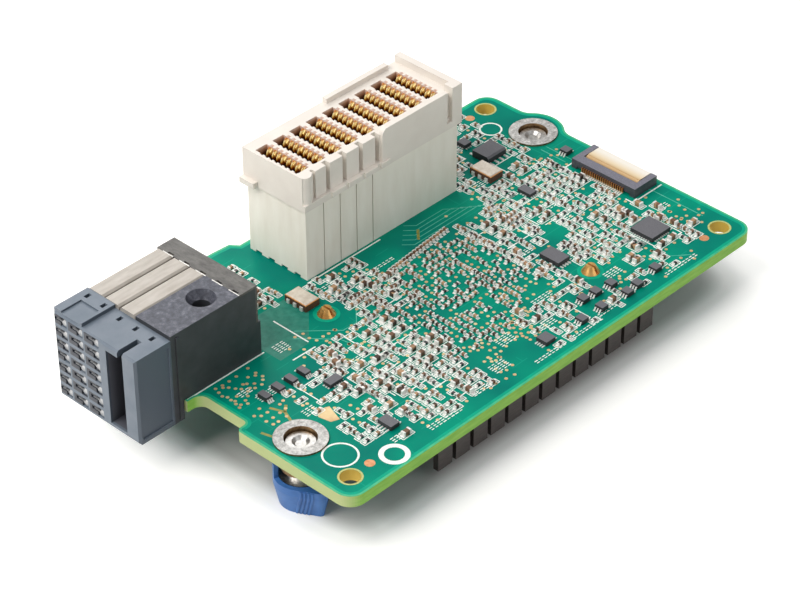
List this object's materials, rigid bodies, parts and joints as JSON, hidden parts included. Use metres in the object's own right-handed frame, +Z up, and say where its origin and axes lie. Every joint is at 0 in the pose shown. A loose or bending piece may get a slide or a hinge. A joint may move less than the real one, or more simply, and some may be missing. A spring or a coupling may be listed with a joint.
{
  "type": "fibre channel host bus adapter",
  "caption": "Mezzanine adapter card with a tall stacking connector, a right-angle backplane connector, captive knob screws, a flat-cable connector and a finned heat sink below.",
  "frame": {"origin": "axis of the near tooling hole at the board's top face", "axes": "+X along the board's long near edge away from the right-angle connector, +Y towards the stacking connector, +Z up out of the component face"},
  "size_m": [0.115, 0.0642, 0.0351],
  "materials": {
    "solder_mask": "satin",
    "solder": "satin",
    "steel": "satin",
    "blue_plastic": "satin",
    "ivory_plastic": "satin",
    "gold": "polished",
    "black_housing": "satin",
    "nickel": "satin",
    "dark_steel": "satin",
    "blue_grey_plastic": "satin",
    "chip_black": "satin",
    "pad_grey": "matte",
    "black_anodised": "satin",
    "brass": "satin",
    "flat_black": "satin",
    "cream_plastic": "satin",
    "copper": "satin",
    "dark_ceramic": "matte",
    "lid_metal": "satin",
    "tin": "satin",
    "capacitor_ceramic": "matte"
  },
  "bodies": {
    "card": {"circuit_board": "solder_mask", "screw_ferrules": "solder", "stack_wafers": "ivory_plastic", "stack_base": "ivory_plastic", "stack_shroud": "ivory_plastic", "stack_contacts": "gold", "backplane_guide_block": "black_housing", "backplane_wafers": "nickel", "backplane_rear_cover": "dark_steel", "backplane_front_housing": "blue_grey_plastic", "controller_chip": "chip_black", "memory_chip": "chip_black", "thin_chip": "chip_black", "square_chip": "chip_black", "small_chips": "chip_black", "sensor_chips": "chip_black", "transistor_row": "chip_black", "transistor_packs": "chip_black", "thermal_pad": "pad_grey", "heat_sink": "black_anodised", "heat_sink_pins": "brass", "flat_cable_housing": "flat_black", "flat_cable_contacts": "copper", "oscillator_bodies": "dark_ceramic", "oscillator_lids": "lid_metal", "chip_leads": "tin", "backplane_contacts": "tin", "chip_capacitors": "capacitor_ceramic"},
    "near_ring": {"near_retaining_ring": "steel"},
    "near_fastener": {"near_captive_screw": "steel", "near_knob": "blue_plastic"},
    "far_ring": {"far_retaining_ring": "steel"},
    "far_fastener": {"far_captive_screw": "steel", "far_knob": "blue_plastic"},
    "flat_cable_latch": {"flat_cable_actuator": "cream_plastic"}
  },
  "joints": [
    {"name": "near_screw_travel", "type": "slide", "parent": "card", "child": "near_ring", "axis": [0, 0, 1], "range_m": [0, 0.0014]},
    {"name": "near_screw_turn", "type": "hinge", "parent": "near_ring", "child": "near_fastener", "pos_m": [0.00125, 0.0124, -0.007], "axis": [0, 0, 1], "continuous": true},
    {"name": "far_screw_travel", "type": "slide", "parent": "card", "child": "far_ring", "axis": [0, 0, 1], "range_m": [0, 0.0014]},
    {"name": "far_screw_turn", "type": "hinge", "parent": "far_ring", "child": "far_fastener", "pos_m": [0.09365, 0.0444, -0.007], "axis": [0, 0, 1], "continuous": true},
    {"name": "flat_cable_flip", "type": "hinge", "parent": "card", "child": "flat_cable_latch", "pos_m": [0.093, 0.02445, 0.0013], "axis": [0, -1, 0], "range_deg": [0, 90]}
  ]
}
